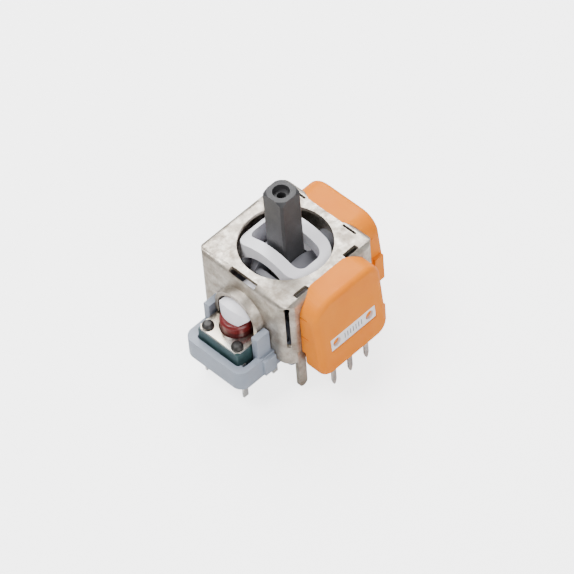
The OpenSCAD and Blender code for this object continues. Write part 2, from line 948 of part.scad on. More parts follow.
module switch_cover() {
    edge = switch_w / 2;
    near = edge - cover_chamfer;
    color("wheat")
    difference() {
        translate([0, -switch_out, switch_top])
            linear_extrude(cover_t)
                polygon([
                    [-near, -edge], [near, -edge], [edge, -near], [edge, near],
                    [near, edge], [-near, edge], [-edge, near], [-edge, -near]
                ]);
        translate([0, -switch_out, switch_top - over])
            cylinder(r = button_r + side_gap, h = cover_t + 2 * over);
        studs_at()
            translate([0, 0, switch_top - over])
                cylinder(r = stud_r, h = cover_t + 2 * over);
    }
}

module switch_button() {
    flange_low = switch_top - button_flange_t - touch_gap;
    color("firebrick")
    translate([0, -switch_out, 0]) {
        translate([0, 0, button_nub_low])
            cylinder(r = button_nub_r, h = flange_low - button_nub_low + weld);
        translate([0, 0, flange_low])
            cylinder(r = button_flange_r, h = button_flange_t);
        translate([0, 0, flange_low])
            cylinder(r = button_r, h = button_top - button_edge - flange_low);
        translate([0, 0, button_top - button_edge])
            cylinder(r1 = button_r, r2 = button_r - button_edge, h = button_edge);
    }
}

module switch_dome() {
    color("silver")
    translate([0, -switch_out, cavity_low + dome_h - dome_curve])
        intersection() {
            difference() {
                sphere(dome_curve);
                sphere(dome_curve - dome_t);
            }
            translate([0, 0, dome_curve - dome_h])
                cylinder(r = dome_r + dome_h, h = dome_h + over);
        }
}

module switch_terminals() {
    color("lightgray")
    terminals_at() {
        terminal(0);
        block([0, bracket_in - side_gap - terminal_x], [-terminal_w / 2, terminal_w / 2],
            [terminal_top - terminal_t, terminal_top]);
    }
}

module right_housing() {
    housing(right_ear_z);
}

module rear_housing() {
    rear()
        housing(rear_ear_z);
}

module right_strip() {
    strip();
}

module rear_strip() {
    rear()
        strip();
}

module right_board() {
    board();
}

module rear_board() {
    rear()
        board();
}

module right_sensor() {
    sensor();
}

module rear_sensor() {
    rear()
        sensor();
}

module right_magnet_holder() {
    magnet_holder();
}

module rear_magnet_holder() {
    rear()
        magnet_holder();
}

module right_magnet() {
    magnet();
}

module rear_magnet() {
    rear()
        magnet();
}

module right_pins() {
    pins();
}

module rear_pins() {
    rear()
        pins();
}

metal_shell();
base_frame();
stick();
lower_yoke();
upper_ring();
switch_pusher();
stick_pin();
centring_puck();
return_spring();
right_housing();
rear_housing();
right_strip();
rear_strip();
right_board();
rear_board();
right_sensor();
rear_sensor();
right_magnet_holder();
rear_magnet_holder();
right_magnet();
rear_magnet();
right_pins();
rear_pins();
switch_body();
switch_cover();
switch_button();
switch_dome();
switch_terminals();
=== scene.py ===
"""Dresses the analog stick module: soft edges, mottled tin, moulded plastics and a plain pale stage."""

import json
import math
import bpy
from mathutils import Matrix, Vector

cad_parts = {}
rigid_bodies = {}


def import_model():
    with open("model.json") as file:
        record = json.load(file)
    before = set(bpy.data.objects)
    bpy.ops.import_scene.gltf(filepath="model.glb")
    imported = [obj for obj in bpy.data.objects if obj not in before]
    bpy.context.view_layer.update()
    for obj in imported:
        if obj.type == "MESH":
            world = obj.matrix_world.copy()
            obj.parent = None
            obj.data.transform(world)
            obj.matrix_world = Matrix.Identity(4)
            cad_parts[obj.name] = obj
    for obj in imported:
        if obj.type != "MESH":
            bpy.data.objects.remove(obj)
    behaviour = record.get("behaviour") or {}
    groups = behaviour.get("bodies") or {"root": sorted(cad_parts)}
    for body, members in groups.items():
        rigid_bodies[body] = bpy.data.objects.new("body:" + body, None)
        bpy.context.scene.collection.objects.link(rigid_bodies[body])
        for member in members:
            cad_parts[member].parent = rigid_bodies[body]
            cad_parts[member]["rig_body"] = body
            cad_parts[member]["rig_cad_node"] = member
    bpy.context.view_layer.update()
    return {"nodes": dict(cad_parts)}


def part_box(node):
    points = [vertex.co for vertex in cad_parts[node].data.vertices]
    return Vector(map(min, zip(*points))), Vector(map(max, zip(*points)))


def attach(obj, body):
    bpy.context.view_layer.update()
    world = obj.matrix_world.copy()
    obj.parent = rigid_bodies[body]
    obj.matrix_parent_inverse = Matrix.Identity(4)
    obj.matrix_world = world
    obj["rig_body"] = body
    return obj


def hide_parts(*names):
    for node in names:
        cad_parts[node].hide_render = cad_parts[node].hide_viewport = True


bl_info = {
    "name": "Analog Stick Module",
    "version": (1, 0, 0),
    "blender": (4, 5, 0),
    "location": "View3D > Sidebar > Analog Stick",
    "description": "Finishes a controller's analog stick module over its fixed frame",
    "category": "Add Mesh",
}

import bmesh
import bpy
from mathutils import Matrix, Vector

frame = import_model()

MM = 0.001
MERGE = 1e-7
FLAT_ANGLE = 0.6
SHARP_ANGLE = 28.0
SMOOTH_ANGLE = 40.0
IMAGE_SIZE = 574
FLOOR_GLOW = 3.0

# Camera measured from the photograph: angles in degrees, lengths in millimetres
CAMERA_AZIMUTH = 48.243
CAMERA_ELEVATION = 49.76
CAMERA_ROLL = -4.902
CAMERA_FOCAL_PIXELS = 4313.4
CAMERA_TARGET = (3.021, -3.009, 9.0)
CAMERA_DISTANCE = 459.8
SENSOR_WIDTH = 36.0

# Places on the module, worked out from the frame, in metres
SHELL_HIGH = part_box("metal_shell")[1]
HALF = SHELL_HIGH.x
PLATE_TOP = SHELL_HIGH.z
COVER_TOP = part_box("switch_cover")[1].z
PIN_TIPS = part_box("right_pins")[0].z
STRIP_LOW, STRIP_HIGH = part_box("right_strip")
STRIP_MID = (STRIP_LOW + STRIP_HIGH) / 2
RIGHT_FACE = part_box("right_housing")[1].x

# Marks on the finishes: middles, radii and reaches, in metres
# Painted reflection: a soft dark brown patch on the right part of the front wall, next to the orange
# housing
REFLECTION_MID = (3.9 * MM, -HALF, 6.6 * MM)
REFLECTION_RADIUS = 1.5 * MM
DIMPLE_MID = (5.3 * MM, 2.2 * MM, PLATE_TOP)
DIMPLE_RADIUS = 0.9 * MM
EJECTOR_MID = (RIGHT_FACE - 0.35 * MM, 0.3 * MM, 6.9 * MM)
EJECTOR_RADIUS = 0.95 * MM
BUTTON_SHADE_TOP = COVER_TOP + 0.75 * MM
BUTTON_SHADE_DEPTH = 0.25 * MM
STUD_FOOT = COVER_TOP - 0.02 * MM
TICK_REACH = 1.4 * MM
TICK_HALF = 0.38 * MM

# Lights: name, place, width and power, all turned to one point on the stick's axis
LIGHTS = (
    ("Key", (-0.14, -0.17, 0.42), 0.22, 2.5),
    ("Fill", (0.36, -0.10, 0.26), 0.30, 1.45),
    ("Back", (-0.20, 0.20, 0.34), 0.30, 2.4),
)
LIGHT_AIM = (0.0, 0.0, 0.006)
WORLD_LIGHT = 0.25


def length_property(name, description, default):
    """One length that a user may change, given in metres."""
    return bpy.props.FloatProperty(name=name, description=description, default=default, unit="LENGTH")


class StickSizes(bpy.types.PropertyGroup):
    """Sizes that the finish uses."""

    sheet_edge: length_property("Sheet edge", "Radius of the stamped sheet's edges", 0.06 * MM)
    moulded_edge: length_property("Moulded edge", "Radius of the base's edges", 0.14 * MM)
    small_edge: length_property("Small edge", "Radius of the smallest pieces' edges", 0.04 * MM)
    lever_edge: length_property("Lever edge", "Radius of the stick's edges", 0.2 * MM)
    ring_edge: length_property("Ring edge", "Radius of the white ring's edges", 0.42 * MM)
    yoke_edge: length_property("Yoke edge", "Radius of the yoke's edges", 0.12 * MM)
    nose_edge: length_property("Nose edge", "Radius of the press rod's edges", 0.22 * MM)
    button_edge: length_property("Button edge", "Radius of the button's edges", 0.08 * MM)
    housing_edge: length_property("Housing edge", "Radius of the housings' cut edges", 0.05 * MM)
    tick_pitch: length_property("Tick pitch", "Distance between the strips' index ticks", 0.42 * MM)
    tick_width: length_property("Tick width", "Width of one index tick", 0.11 * MM)
    floor_half: length_property("Floor reach", "Half the width of the pale floor", 600 * MM)


def colour_property(name, description, default):
    """One colour that a user may change."""
    return bpy.props.FloatVectorProperty(
        name=name,
        description=description,
        subtype="COLOR",
        size=4,
        min=0.0,
        max=1.0,
        default=(*default, 1.0),
    )


class StickColours(bpy.types.PropertyGroup):
    """Colours of the module's finishes, in linear light."""

    tin: colour_property("Tin", "Bright tinned sheet", (0.66, 0.62, 0.55))
    tin_dull: colour_property("Dull tin", "Dull patches of the sheet", (0.30, 0.265, 0.215))
    # Brown for the sheet's real tarnish and scratches, and for a patch of painted reflection on the
    # front wall
    stain_and_reflection: colour_property("Stain and reflection", "Brown stains and painted reflection on the sheet", (0.17, 0.095, 0.06))
    orange: colour_property("Orange", "Sensor housings", (0.84, 0.235, 0.0))
    orange_deep: colour_property("Deep orange", "Shaded flow marks in the housings", (0.80, 0.20, 0.0))
    base_grey: colour_property("Base grey", "Base and switch bracket", (0.30, 0.34, 0.41))
    yoke_grey: colour_property("Yoke grey", "Lower yoke", (0.22, 0.22, 0.245))
    lever_grey: colour_property("Lever grey", "Stick", (0.028, 0.028, 0.030))
    white: colour_property("White", "Ring and press rod", (0.93, 0.92, 0.97))
    strip_white: colour_property("Strip white", "Plates in the housings' faces", (0.92, 0.90, 0.92))
    ink: colour_property("Ink", "Index ticks", (0.05, 0.05, 0.06))
    cover: colour_property("Cover", "Switch cover plate", (0.62, 0.56, 0.45))
    switch_dark: colour_property("Switch body", "Dark moulding of the switch", (0.018, 0.042, 0.044))
    stud: colour_property("Studs", "Staked studs on the cover", (0.014, 0.012, 0.011))
    button: colour_property("Button", "Dark red button", (0.16, 0.012, 0.012))
    pin: colour_property("Pins", "Tinned pins and terminals", (0.92, 0.91, 0.88))
    board: colour_property("Boards", "Green sensor boards", (0.012, 0.09, 0.035))
    chip: colour_property("Chips", "Cases of the sensor chips", (0.012, 0.012, 0.014))
    nickel: colour_property("Nickel", "Plated magnets", (0.30, 0.31, 0.33))
    puck_grey: colour_property("Puck grey", "Centring puck", (0.17, 0.175, 0.185))
    floor: colour_property("Floor", "Pale studio floor", (0.78, 0.78, 0.78))


def sizes():
    return bpy.context.scene.stick_sizes


def colours():
    return bpy.context.scene.stick_colours


# Node groups shared by several finishes


def new_group(name, inputs, outputs):
    """An empty shader group with named sockets, given as (kind, name, default)."""
    group = bpy.data.node_groups.new(name, "ShaderNodeTree")
    for kind, label, default in inputs:
        socket = group.interface.new_socket(label, in_out="INPUT", socket_type=f"NodeSocket{kind}")
        if default is not None:
            socket.default_value = default
    for kind, label in outputs:
        group.interface.new_socket(label, in_out="OUTPUT", socket_type=f"NodeSocket{kind}")
    entry = group.nodes.new("NodeGroupInput")
    leave = group.nodes.new("NodeGroupOutput")
    entry.location = (-900, 0)
    leave.location = (500, 0)
    return group, entry, leave


def put(tree, kind, place=(0, 0), **settings):
    """Adds a node and sets its own properties."""
    node = tree.nodes.new(kind)
    node.location = place
    for name, value in settings.items():
        setattr(node, name, value)
    return node


def wire(tree, source, target):
    tree.links.new(source, target)


def math_node(tree, operation, first, second=None, clamp=False):
    """A Math node whose inputs are sockets or plain numbers."""
    node = put(tree, "ShaderNodeMath", operation=operation, use_clamp=clamp)
    for slot, value in enumerate((first, second)):
        if value is None:
            continue
        if isinstance(value, (int, float)):
            node.inputs[slot].default_value = value
        else:
            wire(tree, value, node.inputs[slot])
    return node.outputs[0]


def mottle_group():
    """Soft irregular patches that pass from one colour to another."""
    group, entry, leave = new_group(
        "Mottle",
        [
            ("Vector", "Vector", None),
            ("Float", "Patch size", 0.002),
            ("Float", "Contrast", 0.5),
            ("Color", "First", None),
            ("Color", "Second", None),
        ],
        [("Color", "Color"), ("Float", "Mask")],
    )
    scale = math_node(group, "DIVIDE", 1.0, entry.outputs["Patch size"])
    noise = put(group, "ShaderNodeTexNoise", (-500, 0))
    noise.inputs["Detail"].default_value = 6.0
    noise.inputs["Roughness"].default_value = 0.62
    wire(group, entry.outputs["Vector"], noise.inputs["Vector"])
    wire(group, scale, noise.inputs["Scale"])
    centred = math_node(group, "SUBTRACT", noise.outputs[0], 0.5)
    spread = math_node(group, "MULTIPLY", entry.outputs["Contrast"], 6.0)
    mask = math_node(group, "MULTIPLY_ADD", centred, spread, clamp=True)
    mask.node.inputs[2].default_value = 0.5
    mix = put(group, "ShaderNodeMix", (200, 0), data_type="RGBA")
    wire(group, mask, mix.inputs["Factor"])
    wire(group, entry.outputs["First"], mix.inputs["A"])
    wire(group, entry.outputs["Second"], mix.inputs["B"])
    wire(group, mix.outputs["Result"], leave.inputs["Color"])
    wire(group, mask, leave.inputs["Mask"])
    return group


def grain_group():
    """Fine surface grain: a height for the bump and a roughness that varies with it."""
    group, entry, leave = new_group(
        "Fine grain",
        [
            ("Vector", "Vector", None),
            ("Float", "Grain size", 0.0002),
            ("Float", "Roughness", 0.4),
            ("Float", "Spread", 0.1),
        ],
        [("Float", "Height"), ("Float", "Roughness")],
    )
    scale = math_node(group, "DIVIDE", 1.0, entry.outputs["Grain size"])
    fine = put(group, "ShaderNodeTexNoise", (-500, 100))
    fine.inputs["Detail"].default_value = 4.0
    broad = put(group, "ShaderNodeTexNoise", (-500, -200))
    broad.inputs["Detail"].default_value = 3.0
    wire(group, entry.outputs["Vector"], fine.inputs["Vector"])
    wire(group, entry.outputs["Vector"], broad.inputs["Vector"])
    wire(group, scale, fine.inputs["Scale"])
    wire(group, math_node(group, "MULTIPLY", scale, 0.12), broad.inputs["Scale"])
    both = math_node(group, "ADD", fine.outputs[0], broad.outputs[0])
    shifted = math_node(group, "SUBTRACT", both, 1.0)
    change = math_node(group, "MULTIPLY", shifted, entry.outputs["Spread"])
    rough = math_node(group, "ADD", entry.outputs["Roughness"], change, clamp=True)
    wire(group, fine.outputs[0], leave.inputs["Height"])
    wire(group, rough, leave.inputs["Roughness"])
    return group


def spot_group():
    """A round soft spot, or a thin ring where its width is small."""
    group, entry, leave = new_group(
        "Round mark",
        [
            ("Vector", "Vector", None),
            ("Vector", "Centre", None),
            ("Float", "Radius", 0.001),
            ("Float", "Softness", 0.0002),
        ],
        [("Float", "Disc"), ("Float", "Ring")],
    )
    reach = put(group, "ShaderNodeVectorMath", (-500, 0), operation="DISTANCE")
    wire(group, entry.outputs["Vector"], reach.inputs[0])
    wire(group, entry.outputs["Centre"], reach.inputs[1])
    past = math_node(group, "SUBTRACT", entry.outputs["Radius"], reach.outputs["Value"])
    depth = math_node(group, "DIVIDE", past, entry.outputs["Softness"])
    disc = math_node(group, "ADD", depth, 0.5, clamp=True)
    away = math_node(group, "ABSOLUTE", depth)
    ring = math_node(group, "SUBTRACT", 1.0, away, clamp=True)
    wire(group, disc, leave.inputs["Disc"])
    wire(group, ring, leave.inputs["Ring"])
    return group


def ticks_group():
    """A row of short printed strokes along one direction."""
    group, entry, leave = new_group(
        "Index ticks",
        [
            ("Float", "Along", 0.0),
            ("Float", "Across", 0.0),
            ("Float", "Pitch", 0.0004),
            ("Float", "Width", 0.0001),
            ("Float", "Reach", 0.0015),
            ("Float", "Height", 0.0004),
        ],
        [("Float", "Mask")],
    )
    ratio = math_node(group, "DIVIDE", entry.outputs["Along"], entry.outputs["Pitch"])
    shifted = math_node(group, "ADD", ratio, 100.5)
    part = math_node(group, "FRACT", shifted)
    from_mid = math_node(group, "ABSOLUTE", math_node(group, "SUBTRACT", part, 0.5))
    distance = math_node(group, "MULTIPLY", from_mid, entry.outputs["Pitch"])
    half = math_node(group, "MULTIPLY", entry.outputs["Width"], 0.5)
    stroke = math_node(group, "LESS_THAN", distance, half)
    along = math_node(group, "ABSOLUTE", entry.outputs["Along"])
    across = math_node(group, "ABSOLUTE", entry.outputs["Across"])
    inside = math_node(group, "LESS_THAN", along, entry.outputs["Reach"])
    level = math_node(group, "LESS_THAN", across, entry.outputs["Height"])
    mask = math_node(group, "MULTIPLY", stroke, math_node(group, "MULTIPLY", inside, level))
    wire(group, mask, leave.inputs["Mask"])
    return group


GROUPS = {}


def group_node(tree, name, place=(0, 0), **values):
    """Places a shared group and sets the values of its own sockets."""
    node = put(tree, "ShaderNodeGroup", place, node_tree=GROUPS[name])
    for label, value in values.items():
        socket = node.inputs[label.replace("_", " ").capitalize()]
        if isinstance(value, bpy.types.NodeSocket):
            wire(tree, value, socket)
        else:
            socket.default_value = value
    return node


# Finishes


def start_material(name):
    """A material with a Principled shader and object coordinates."""
    material = bpy.data.materials.new(name)
    material.use_nodes = True
    tree = material.node_tree
    tree.nodes.clear()
    output = put(tree, "ShaderNodeOutputMaterial", (800, 0))
    shader = put(tree, "ShaderNodeBsdfPrincipled", (500, 0))
    wire(tree, shader.outputs["BSDF"], output.inputs["Surface"])
    place = put(tree, "ShaderNodeTexCoord", (-900, 0)).outputs["Object"]
    return material, tree, shader, place


def add_bump(tree, shader, height, distance, strength=1.0):
    bump = put(tree, "ShaderNodeBump", (250, -300))
    bump.inputs["Distance"].default_value = distance
    bump.inputs["Strength"].default_value = strength
    wire(tree, height, bump.inputs["Height"])
    wire(tree, bump.outputs["Normal"], shader.inputs["Normal"])


def blend_colour(tree, factor, first, second):
    """Mixes two colours, each a socket or a plain colour, by a factor socket."""
    mix = put(tree, "ShaderNodeMix", (100, 200), data_type="RGBA")
    wire(tree, factor, mix.inputs["Factor"])
    for label, value in (("A", first), ("B", second)):
        if isinstance(value, bpy.types.NodeSocket):
            wire(tree, value, mix.inputs[label])
        else:
            mix.inputs[label].default_value = value
    return mix.outputs["Result"]


def dress(tree, shader, colour, grain, depth):
    """Wires a finish's colour, its roughness and its fine bump."""
    wire(tree, colour, shader.inputs["Base Color"])
    wire(tree, grain.outputs["Roughness"], shader.inputs["Roughness"])
    add_bump(tree, shader, grain.outputs["Height"], depth)


def moulded(name, first, second, roughness=0.42, patch=0.003, contrast=0.35, gloss=0.45):
    """Injection-moulded plastic: faint flow marks and a fine satin grain."""
    material, tree, shader, place = start_material(name)
    mottle = group_node(
        tree,
        "Mottle",
        (-500, 200),
        vector=place,
        patch_size=patch,
        contrast=contrast,
        first=first,
        second=second,
    )
    grain = group_node(
        tree,
        "Fine grain",
        (-500, -200),
        vector=place,
        grain_size=0.00018,
        roughness=roughness,
        spread=0.18,
    )
    dress(tree, shader, mottle.outputs["Color"], grain, 0.000006)
    shader.inputs["Specular IOR Level"].default_value = gloss
    return material


def metal(name, first, second, roughness=0.34, patch=0.0016):
    """Bare or tinned metal with dull patches."""
    material, tree, shader, place = start_material(name)
    mottle = group_node(
        tree,
        "Mottle",
        (-500, 200),
        vector=place,
        patch_size=patch,
        contrast=0.5,
        first=first,
        second=second,
    )
    grain = group_node(
        tree,
        "Fine grain",
        (-500, -200),
        vector=place,
        grain_size=0.00025,
        roughness=roughness,
        spread=0.25,
    )
    shader.inputs["Metallic"].default_value = 1.0
    dress(tree, shader, mottle.outputs["Color"], grain, 0.000004)
    return material


def shaded(colour, factor):
    """The same colour, made darker or lighter."""
    return (*(min(1.0, channel * factor) for channel in colour[:3]), 1.0)


# Pieces


def softened(node, width, segments=2):
    """A copy of a CAD node with its sharp edges rounded, standing for that node."""
    source = frame["nodes"][node]
    work = bmesh.new()
    work.from_mesh(source.data)
    bmesh.ops.remove_doubles(work, verts=work.verts, dist=MERGE)
    bmesh.ops.dissolve_limit(
        work,
        angle_limit=math.radians(FLAT_ANGLE),
        verts=work.verts,
        edges=work.edges,
        use_dissolve_boundaries=False,
    )
    turn = math.radians(SHARP_ANGLE)
    sharp = [edge for edge in work.edges if edge.is_manifold and edge.calc_face_angle(0.0) > turn]
    bmesh.ops.bevel(
        work,
        geom=sharp,
        offset=width,
        offset_type="OFFSET",
        segments=segments,
        profile=0.5,
        affect="EDGES",
        clamp_overlap=True,
        material=-1,
    )
    return finish_piece(work, f"{node}_finish", source["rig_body"], node)


def finish_piece(work, name, body, node=None):
    """Turns a bmesh into a smooth piece that rides on its body."""
    for face in work.faces:
        face.smooth = True
    data = bpy.data.meshes.new(name)
    work.to_mesh(data)
    work.free()
    data.set_sharp_from_angle(angle=math.radians(SMOOTH_ANGLE))
    piece = bpy.data.objects.new(name, data)
    bpy.context.scene.collection.objects.link(piece)
    level = piece.modifiers.new("Level normals", "WEIGHTED_NORMAL")
    level.keep_sharp = True
    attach(piece, body)
    if node:
        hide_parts(node)
    return piece


def coat(piece, material):
    """Gives a piece its finish."""
    piece.data.materials.clear()
    piece.data.materials.append(material)


def coat_node(name, material):
    """A better finish on a CAD node that keeps its own mesh."""
    node = frame["nodes"][name]
    node.data.materials.clear()
    node.data.materials.append(material)


class StickOperator(bpy.types.Operator):
    """Shared form of the module's operators."""

    bl_options = {"REGISTER", "UNDO"}

    def execute(self, context):
        self.make()
        return {"FINISHED"}


class STICK_OT_stage(StickOperator):
    """Adds the pale floor, the soft lights and the camera"""

    bl_idname = "analog_stick.stage"
    bl_label = "Stage"

    def make(self):
        self.floor()
        for light in LIGHTS:
            self.light(*light)
        self.world()
        self.camera()

    def floor(self):
        work = bmesh.new()
        bmesh.ops.create_grid(work, x_segments=1, y_segments=1, size=sizes().floor_half)
        bmesh.ops.translate(work, verts=work.verts, vec=(0.0, 0.0, PIN_TIPS))
        data = bpy.data.meshes.new("floor")
        work.to_mesh(data)
        work.free()
        floor = bpy.data.objects.new("floor", data)
        bpy.context.scene.collection.objects.link(floor)
        material, tree, shader, place = start_material("Pale floor")
        mottle = group_node(
            tree,
            "Mottle",
            vector=place,
            patch_size=0.05,
            contrast=0.1,
            first=colours().floor,
            second=shaded(colours().floor, 0.99),
        )
        wire(tree, mottle.outputs["Color"], shader.inputs["Base Color"])
        shader.inputs["Roughness"].default_value = 0.9
        shader.inputs["Specular IOR Level"].default_value = 0.1
        # The floor looks lighter to the camera than the light it sends back to the module
        sight = put(tree, "ShaderNodeLightPath", (0, -300)).outputs["Is Camera Ray"]
        shader.inputs["Emission Color"].default_value = (1.0, 1.0, 1.0, 1.0)
        wire(tree, math_node(tree, "MULTIPLY", sight, FLOOR_GLOW), shader.inputs["Emission Strength"])
        data.materials.append(material)

    def light(self, name, place, width, power):
        data = bpy.data.lights.new(name, "AREA")
        data.shape = "DISK"
        data.size = width
        data.energy = power
        lamp = bpy.data.objects.new(name, data)
        lamp.location = place
        aim = Vector(LIGHT_AIM) - Vector(place)
        lamp.rotation_euler = aim.to_track_quat("-Z", "Y").to_euler()
        bpy.context.scene.collection.objects.link(lamp)

    def world(self):
        world = bpy.data.worlds.new("Studio")
        world.use_nodes = True
        back = world.node_tree.nodes["Background"]
        back.inputs["Color"].default_value = (1.0, 1.0, 1.0, 1.0)
        back.inputs["Strength"].default_value = WORLD_LIGHT
        bpy.context.scene.world = world

    def camera(self):
        azimuth = math.radians(CAMERA_AZIMUTH)
        elevation = math.radians(CAMERA_ELEVATION)
        roll = math.radians(CAMERA_ROLL)
        back = Vector(
            (
                math.sin(azimuth) * math.cos(elevation),
                -math.cos(azimuth) * math.cos(elevation),
                math.sin(elevation),
            )
        )
        level_right = Vector((math.cos(azimuth), math.sin(azimuth), 0.0))
        level_up = back.cross(level_right)
        right = math.cos(roll) * level_right + math.sin(roll) * level_up
        up = -math.sin(roll) * level_right + math.cos(roll) * level_up
        data = bpy.data.cameras.new("Camera")
        data.sensor_fit = "HORIZONTAL"
        data.sensor_width = SENSOR_WIDTH
        data.lens = CAMERA_FOCAL_PIXELS / IMAGE_SIZE * SENSOR_WIDTH
        data.clip_start = 0.01
        data.clip_end = 10.0
        camera = bpy.data.objects.new("Camera", data)
        turn = Matrix((right, up, back)).transposed().to_4x4()
        target = Vector(CAMERA_TARGET) * MM
        camera.matrix_world = Matrix.Translation(target + back * CAMERA_DISTANCE * MM) @ turn
        bpy.context.scene.collection.objects.link(camera)
        bpy.context.scene.camera = camera


class STICK_OT_shell(StickOperator):
    """Finishes the folded sheet shell"""

    bl_idname = "analog_stick.shell"
    bl_label = "Metal shell"

    def make(self):
        shell = softened("metal_shell", sizes().sheet_edge, segments=2)
        coat(shell, self.tinned_sheet())

    def tinned_sheet(self):
        paint = colours()
        material, tree, shader, place = start_material("Tinned sheet")
        mottle = group_node(
            tree,
            "Mottle",
            vector=place,
            patch_size=0.0022,
            contrast=0.45,
            first=paint.tin,
            second=paint.tin_dull,
        )
        grain = group_node(
            tree, "Fine grain", vector=place, grain_size=0.00022, roughness=0.38, spread=0.3
        )
        # Painted reflection: a soft round patch on the front wall, next to the housing
        stain_and_reflection = group_node(
            tree,
            "Round mark",
            vector=place,
            centre=REFLECTION_MID,
            radius=REFLECTION_RADIUS,
            softness=2.4 * MM,
        )
        dimple = group_node(
            tree,
            "Round mark",
            vector=place,
            centre=DIMPLE_MID,
            radius=DIMPLE_RADIUS,
            softness=0.16 * MM,
        )
        tarnish = group_node(
            tree,
            "Mottle",
            vector=place,
            patch_size=0.0007,
            contrast=0.7,
            first=(0.0, 0.0, 0.0, 1.0),
            second=(1.0, 1.0, 1.0, 1.0),
        )
        scratch = put(tree, "ShaderNodeTexWave", (-700, -500))
        scratch.inputs["Scale"].default_value = 900.0
        scratch.inputs["Distortion"].default_value = 9.0
        scratch.inputs["Detail"].default_value = 3.0
        wire(tree, place, scratch.inputs["Vector"])
        thin = math_node(tree, "GREATER_THAN", scratch.outputs["Fac"], 0.93)
        # The painted reflection is broken up by the mottle, then mixed with the real tarnish and
        # scratches
        broken_reflection = math_node(tree, "MULTIPLY", stain_and_reflection.outputs["Disc"], mottle.outputs["Mask"])
        faint = math_node(tree, "MULTIPLY", broken_reflection, 0.8)
        warm = math_node(tree, "MULTIPLY", tarnish.outputs["Mask"], 0.30)
        marks = math_node(tree, "MAXIMUM", faint, warm)
        wear_and_reflection = math_node(tree, "MAXIMUM", marks, math_node(tree, "MULTIPLY", thin, 0.22))
        colour = blend_colour(tree, wear_and_reflection, mottle.outputs["Color"], paint.stain_and_reflection)
        wire(tree, colour, shader.inputs["Base Color"])
        dull = math_node(tree, "MULTIPLY", tarnish.outputs["Mask"], 0.14)
        rough = math_node(tree, "ADD", grain.outputs["Roughness"], dull, clamp=True)
        wire(tree, rough, shader.inputs["Roughness"])
        shader.inputs["Metallic"].default_value = 0.88
        ring = math_node(tree, "MULTIPLY", dimple.outputs["Ring"], 2.0)
        height = math_node(tree, "SUBTRACT", grain.outputs["Height"], ring)
        add_bump(tree, shader, height, 0.000008)
        return material


class STICK_OT_base(StickOperator):
    """Finishes the grey base and its switch bracket"""

    bl_idname = "analog_stick.base"
    bl_label = "Base and bracket"

    def make(self):
        grey = colours().base_grey
        base = softened("base_frame", sizes().moulded_edge)
        coat(base, moulded("Grey moulding", grey, shaded(grey, 0.86), roughness=0.4))


class STICK_OT_lever(StickOperator):
    """Finishes the dark grey stick"""

    bl_idname = "analog_stick.lever"
    bl_label = "Stick"

    def make(self):
        grey = colours().lever_grey
        stick = softened("stick", sizes().lever_edge, segments=4)
        finish = moulded(
            "Dark moulding",
            grey,
            shaded(grey, 1.35),
            roughness=0.46,
            patch=0.0022,
            contrast=0.3,
            gloss=0.38,
        )
        coat(stick, finish)


class STICK_OT_gimbal(StickOperator):
    """Finishes the white ring, the grey yoke and the stick's pin"""

    bl_idname = "analog_stick.gimbal"
    bl_label = "Ring, yoke and pin"

    def make(self):
        paint = colours()
        ring = softened("upper_ring", sizes().ring_edge, segments=5)
        white = moulded("White moulding", paint.white, shaded(paint.white, 0.93), roughness=0.45)
        coat(ring, white)
        yoke = softened("lower_yoke", sizes().yoke_edge)
        finish = moulded("Yoke moulding", paint.yoke_grey, shaded(paint.yoke_grey, 1.12))
        coat(yoke, finish)
        coat_node("stick_pin", metal("Pin steel", shaded(paint.pin, 0.9), shaded(paint.pin, 0.7)))


class STICK_OT_press(StickOperator):
    """Finishes the white press rod and the red button"""

    bl_idname = "analog_stick.press"
    bl_label = "Press rod and button"

    def make(self):
        paint = colours()
        nose = softened("switch_pusher", sizes().nose_edge, segments=4)
        white = moulded("Nose moulding", paint.white, shaded(paint.white, 0.95), roughness=0.5)
        coat(nose, white)
        button = softened("switch_button", sizes().button_edge, segments=3)
        coat(button, self.red_moulding())

    def red_moulding(self):
        paint = colours()
        material, tree, shader, place = start_material("Red moulding")
        mottle = group_node(
            tree,
            "Mottle",
            vector=place,
            patch_size=0.0018,
            contrast=0.3,
            first=paint.button,
            second=shaded(paint.button, 0.75),
        )
        grain = group_node(
            tree, "Fine grain", vector=place, grain_size=0.00016, roughness=0.34, spread=0.15
        )
        height = put(tree, "ShaderNodeSeparateXYZ", (-700, -400))
        wire(tree, place, height.inputs[0])
        below = math_node(tree, "SUBTRACT", BUTTON_SHADE_TOP, height.outputs["Z"])
        band = math_node(tree, "DIVIDE", below, BUTTON_SHADE_DEPTH, clamp=True)
        shade = math_node(tree, "MULTIPLY", band, 0.65)
        colour = blend_colour(tree, shade, mottle.outputs["Color"], shaded(paint.button, 0.16))
        dress(tree, shader, colour, grain, 0.000004)
        return material


